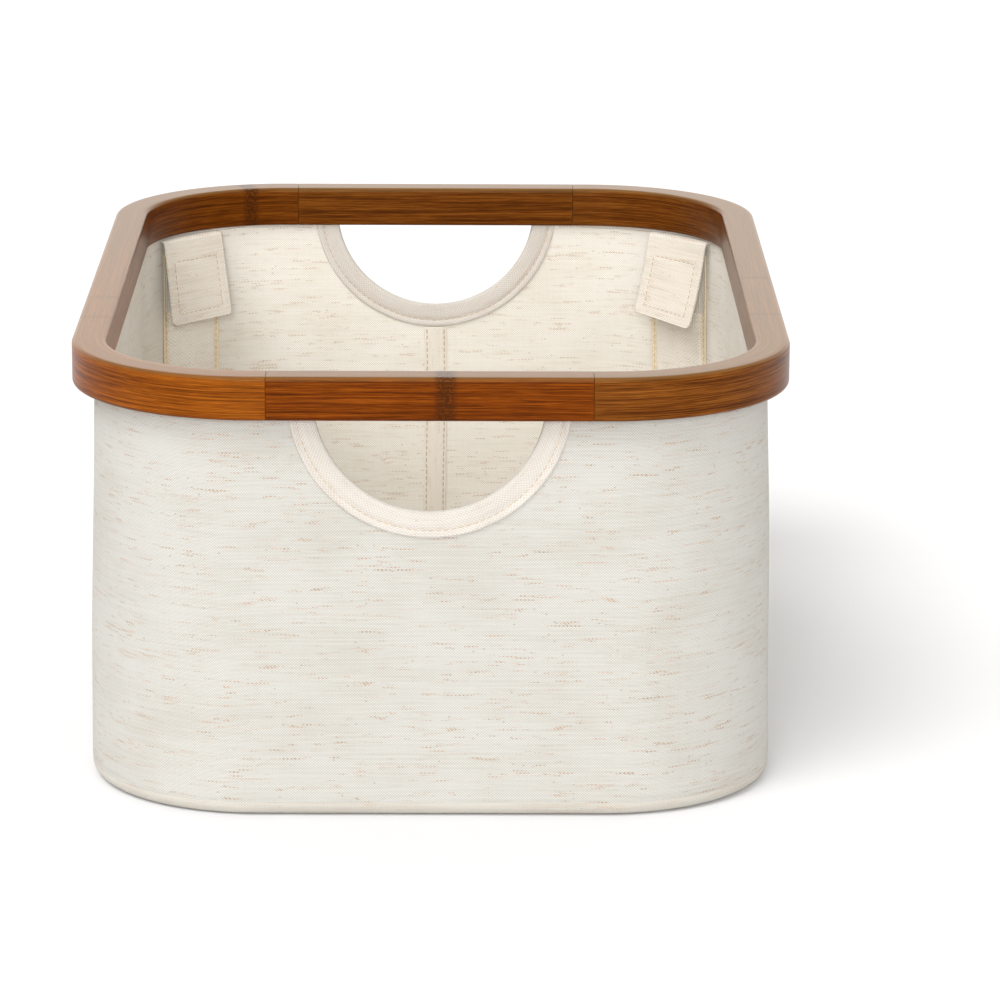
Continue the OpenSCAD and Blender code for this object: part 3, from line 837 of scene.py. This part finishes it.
def sleeve(corner):
    inner_half = 0.0192
    across = np.unique(np.round(np.concatenate([
        np.linspace(-0.0190, 0.0190, 45), np.array([-1, 1]) * SLEEVE_SEAM,
        np.linspace(-0.0012, 0.0012, 7)]), 6))
    z = np.concatenate([np.linspace(SLEEVE_TOP, SLEEVE_TOP - 0.04, 24),
                        np.linspace(SLEEVE_TOP - 0.043, SLEEVE_FOOT, 46)])
    face_a = np.concatenate([[-0.0196, -0.0194], across, [0.0194, 0.0196]])
    rows = []
    for height in z:
        drop = np.zeros(len(face_a))
        drop[[0, -1]] = 0.0006
        drop[[1, -2]] = 0.0002
        hem = 0.00035 * ease(height, SLEEVE_TOP - 0.0062, SLEEVE_TOP - 0.0054)
        front = sleeve_depth(face_a, height) - drop + hem * bell(face_a, 0.012)
        back_a = np.linspace(inner_half, -inner_half, 33)
        back = np.maximum(sleeve_depth(back_a, height) - 0.0008, arc_depth(back_a) + 0.0001)
        wavy = 0.00015 * math.sin(height / 0.0067)
        rows.append(np.concatenate([np.stack([face_a + wavy, front], -1),
                                    np.stack([back_a + wavy, back], -1)]))
    shape = np.array(rows)
    points = corner_point(corner, LINING_R + lean(z)[:, None] - shape[..., 1], shape[..., 0],
                          z[:, None])
    u = np.append(shape[0, :, 0], shape[0, 0, 0])
    uv = np.stack(np.broadcast_arrays(u[None, :], z[:, None]), -1)
    piece = make(corner + "_sleeve_cloth", *sweep(points, uv), SLEEVE, slot="sleeve_cloth",
                 stands_for=[corner + "_rod_sleeve"], sharp=60)
    inward = corner_point(corner, -1.0, 0.0, 0.0) - corner_point(corner, 0.0, 0.0, 0.0)
    lines = []
    for side in (-1, 1):
        a = np.full(len(z), side * SLEEVE_SEAM)
        path = corner_point(corner, LINING_R + lean(z) - sleeve_depth(a, z) + 0.00002, a, z)
        lines.append((path, np.tile(inward, (len(z), 1))))
    a = np.linspace(-0.0165, 0.0165, 40)
    height = np.full(40, SLEEVE_TOP - 0.0062)
    path = corner_point(corner, LINING_R + lean(height) - sleeve_depth(a, height) - 0.0001, a,
                        height)
    lines.append((path, np.tile(inward, (40, 1))))
    sewing = stitches(corner + "_sleeve_stitches", lines, THREAD_AND_HOLE_SHADE)


def patch_shape(along):
    """A patch's section, and its depth at each place along it, thinned at both ends."""
    section = strip_section(PATCH_HALF, 0.0, PATCH_T, edge=0.0003, marks=(-0.0138, 0.0138))
    ends = np.minimum(abs(along - along[0]), abs(along - along[-1]))
    thin = 0.4 + 0.6 * ease(ends, -0.0001, 0.0005)
    depth = section[None, :, 1]
    return section, np.where(depth > 0, depth * thin[:, None], -0.0001)


def loop_patch(corner):
    """Soft half of the fastening, sewn to the sleeve."""
    top = HINGE_Z - PATCH_DROP
    z = np.linspace(top, top - PATCH_H, 26)
    section, above = patch_shape(z)
    a = section[None, :, 0] + flap_shift(corner)
    depth = sleeve_depth(a, z[:, None]) + above
    points = corner_point(corner, LINING_R + lean(z)[:, None] - depth, a, z[:, None])
    make(corner + "_loop_tape", *sweep(points, section_uv(z, section)), HOOKS,
         slot="hook_and_loop", stands_for=[corner + "_loop_patch"])


# Each flap's curl and twist in degrees, how much longer one side is cut, and a wave's phase
FLAP_SHAPES = {
    "rear_left": (2.5, -2.5, 0.0004, 0.7),
    "rear_right": (14.0, 0.0, -0.0020, 2.1),
    "front_left": (4.0, 1.5, 0.0008, 3.0),
    "front_right": (6.0, -2.0, -0.0006, 4.4),
}
FLAP_LEAN = math.radians(8)


def flap_path(corner, a, b):
    """(radius, height) on the flap's middle, a sideways and b down from its fold."""
    curl, twist, askew, phase = FLAP_SHAPES[corner]
    steps = 24
    b = b * (1 + askew / FLAP_LENGTH * a / FLAP_HALF)
    r, z = HINGE_R + 0 * (a + b), HINGE_Z + 0 * (a + b)
    for k in range(steps):
        t = b * (k + 0.5) / steps
        share = np.clip(t / FLAP_LENGTH, 0, 1)
        angle = FLAP_LEAN + np.radians(curl + twist * a / FLAP_HALF) * share ** 0.8
        angle = angle + 0.03 * share * np.sin(phase + 5 * share)
        r = r - np.sin(angle) * b / steps
        z = z - np.cos(angle) * b / steps
    return r, z


def flap_dent(a, b):
    """How far the patch's box of stitches pulls the flap's face in."""
    in_b = ease(b, BOX_LOW - 0.001, BOX_LOW) * (1 - ease(b, BOX_HIGH, BOX_HIGH + 0.001))
    in_a = 1 - ease(abs(a), BOX_HALF, BOX_HALF + 0.001)
    ends = np.maximum(bell(b - BOX_LOW, 0.0007), bell(b - BOX_HIGH, 0.0007))
    return np.maximum(bell(abs(a) - BOX_HALF, 0.0007) * in_b, ends * in_a)


def flap(corner):
    sx, sy, _ = CORNERS[corner]
    body = "flap_" + corner
    b = np.unique(np.round(np.concatenate([
        np.linspace(0.0022, FLAP_LENGTH - 0.003, 52), FLAP_LENGTH - 0.003 * (1 - np.sin(
            np.radians([20, 40, 58, 74, 90])))]), 6))
    round_r = 0.003
    over = np.clip(b - (FLAP_LENGTH - round_r), 0, round_r)
    half = FLAP_HALF - round_r + np.sqrt(np.maximum(round_r ** 2 - over ** 2, 1e-9))
    across = np.sin(np.radians(np.linspace(-90, 90, 41))) * 0.35 + np.linspace(-1, 1, 41) * 0.65
    a = across[None, :] * half[:, None]
    r, z = flap_path(corner, a, b[:, None])
    shift = flap_shift(corner)
    hanging = corner_point(corner, r, a + shift, z)
    root_r = HINGE_R + np.array([0.0061, 0.0048, 0.0034, 0.0020, 0.0010, 0.0003, 0.00001])
    root_z = HINGE_Z + np.array([-0.0001, 0.0, 0.00005, 0.0, -0.0002, -0.0007, -0.0013])
    root_a = across[None, :] * FLAP_HALF + 0 * root_r[:, None]
    root = corner_point(corner, root_r[:, None], root_a + shift, root_z[:, None])
    rows = np.concatenate([root, hanging])
    v = np.concatenate([-0.0008 - np.array([0.0058, 0.0045, 0.0031, 0.0017, 0.0007, 0.0, -0.0007]),
                        b])
    u = np.concatenate([root_a, a])
    uv = np.stack([u, np.broadcast_to(v[:, None], u.shape)], -1)
    piece = make(corner + "_flap_cloth", *grid(rows, uv), FLAP, body=None, slot="linen",
                 stands_for=[corner + "_flap", corner + "_flap_root"], closed=False)
    thicken(piece, FLAP_T * FLAP_FILL, offset=0)
    inward = np.array([-sx, -sy, 0.0]) * math.sqrt(0.5)
    mesh = piece.data
    co = np.empty(len(mesh.vertices) * 3)
    normal = np.empty(len(mesh.vertices) * 3)
    mesh.vertices.foreach_get("co", co)
    mesh.vertices.foreach_get("normal", normal)
    co, normal = co.reshape(-1, 3), normal.reshape(-1, 3)
    centre = np.array([sx * CORE_HALF_X, sy * CORE_HALF_Y, 0])
    side = np.array([-sy, sx, 0]) * math.sqrt(0.5)
    va = (co - centre) @ side - shift
    vb = (HINGE_Z - co[:, 2]) / math.cos(FLAP_LEAN + 0.06)
    front = np.clip(normal @ inward, 0, 1) * ease(vb, 0.004, 0.008)
    puff = 0.00022 * bell(va, 0.009) * bell(vb - PATCH_DROP - PATCH_H / 2, 0.011)
    co += (front * (puff - 0.0003 * flap_dent(va, vb)))[:, None] * inward
    mesh.vertices.foreach_set("co", co.ravel())
    mesh.update()
    start = corner_point(corner, HINGE_R + 0.0014, 0.0, HINGE_Z + 0.0004)
    end = corner_point(corner, HINGE_R - 0.0004, 0.0, HINGE_Z - 0.0026)
    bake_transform(piece)

    box = [(-BOX_HALF, BOX_LOW), (BOX_HALF, BOX_LOW), (BOX_HALF, BOX_HIGH), (-BOX_HALF, BOX_HIGH)]
    lines = []
    for (a0, b0), (a1, b1) in zip(box, box[1:] + box[:1]):
        t = np.linspace(0, 1, 30)
        a, b = a0 + (a1 - a0) * t, b0 + (b1 - b0) * t
        r, z = flap_path(corner, a, b)
        path = corner_point(corner, r - FLAP_T * FLAP_FILL / 2 + 0.00012, a + shift, z)
        lines.append((path, np.tile(inward, (30, 1))))
    sewing = stitches(corner + "_flap_stitches", lines, THREAD_AND_HOLE_SHADE, body=body, radius=FINE_THREAD,
                      pitch=0.0031, length=0.0022)

    b = np.linspace(PATCH_DROP, PATCH_DROP + PATCH_H, 26)
    section, above = patch_shape(b)
    a = section[None, :, 0]
    r, z = flap_path(corner, a, b[:, None])
    back = FLAP_T * FLAP_FILL / 2 + above
    points = corner_point(corner, r + back * math.cos(FLAP_LEAN), a + shift,
                          z - back * math.sin(FLAP_LEAN))
    patch = make(corner + "_hook_tape", *sweep(points, section_uv(b, section)), HOOKS, body=body,
                 slot="hook_and_loop", stands_for=[corner + "_hook_patch"])


for corner in CORNERS:
    sleeve(corner)
    loop_patch(corner)
    flap(corner)

# ---------------------------------------------------------------- CAD pieces that stay

for name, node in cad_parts.items():
    if node.hide_render:
        continue
    if name.endswith("_rod"):
        finish = ROD
    elif name.endswith("_rod_caps"):
        finish = CAP
    else:
        finish = BOARD
    node.data.materials.clear()
    node.data.materials.append(finish)

# ---------------------------------------------------------------- stage, light, camera

ground = bpy.data.meshes.new("floor")
reach = 12.0
ground.from_pydata([(-reach, -reach, 0), (reach, -reach, 0), (reach, reach, 0), (-reach, reach, 0)],
                   [], [(0, 1, 2, 3)])
floor = bpy.data.objects.new("floor", ground)
floor.location.z = -0.0002
bpy.context.scene.collection.objects.link(floor)
paper = Paint("paper", 0.9)
paper.shader.inputs["Base Color"].default_value = (0.785, 0.79, 0.805, 1)
paper.shader.inputs["Specular IOR Level"].default_value = 0.1
ground.materials.append(paper.material)


def studio(front, back, horizon):
    """A pale studio: dim towards the front, brighter behind, brightest low down behind."""
    world = bpy.data.worlds.new("studio")
    world.use_nodes = True
    nodes = Nodes(world.node_tree)
    toward = world.node_tree.nodes.new("ShaderNodeSeparateXYZ")
    source = world.node_tree.nodes.new("ShaderNodeTexCoord").outputs["Generated"]
    world.node_tree.links.new(source, toward.inputs[0])
    depth, height = toward.outputs[1], toward.outputs[2]
    general = nodes.ramp(depth, -0.3, 0.7, front, back)
    low = nodes.times(nodes.ramp(depth, 0.3, 0.9), nodes.ramp(height, 0.55, 0.20))
    strength = nodes.add(general, nodes.times(low, horizon - back))
    world.node_tree.links.new(strength, world.node_tree.nodes["Background"].inputs["Strength"])
    world.node_tree.nodes["Background"].inputs["Color"].default_value = (1, 0.98, 0.94, 1)
    bpy.context.scene.world = world


studio(0.50, 1.15, 2.2)
bpy.context.scene.view_settings.view_transform = "Standard"


def sun(name, azimuth, elevation, strength, softness):
    """Studio light from a direction: azimuth 0 is behind the camera, and plus is to its right."""
    lamp = bpy.data.lights.new(name, "SUN")
    lamp.energy = strength
    lamp.angle = math.radians(softness)
    piece = bpy.data.objects.new(name, lamp)
    a, e = math.radians(azimuth), math.radians(elevation)
    toward = Vector((math.sin(a) * math.cos(e), -math.cos(a) * math.cos(e), math.sin(e)))
    piece.rotation_mode = "QUATERNION"
    piece.rotation_quaternion = toward.to_track_quat("Z", "Y")
    bpy.context.scene.collection.objects.link(piece)


sun("key", -35, 52, 1.85, 34)
sun("fill", -3, 16, 1.70, 22)
sun("edge", 32, 20, 0.35, 25)

WIDTH = 2 * HALF_W
camera = bpy.data.objects.new("camera", bpy.data.cameras.new("camera"))
camera.location = (0.0424 * WIDTH, -(HALF_D + 6.495 * WIDTH), TOP + 1.476 * WIDTH)
pitch, yaw, roll = 0.248, 0.0081, 0.0045
turned = (Matrix.Rotation(-yaw, 3, "Z") @ Matrix.Rotation(math.pi / 2 - pitch, 3, "X")
          @ Matrix.Rotation(roll, 3, "Z"))
camera.rotation_euler = turned.to_euler()
camera.data.lens = 178.5
camera.data.sensor_width = 36
bpy.context.scene.collection.objects.link(camera)
bpy.context.scene.camera = camera
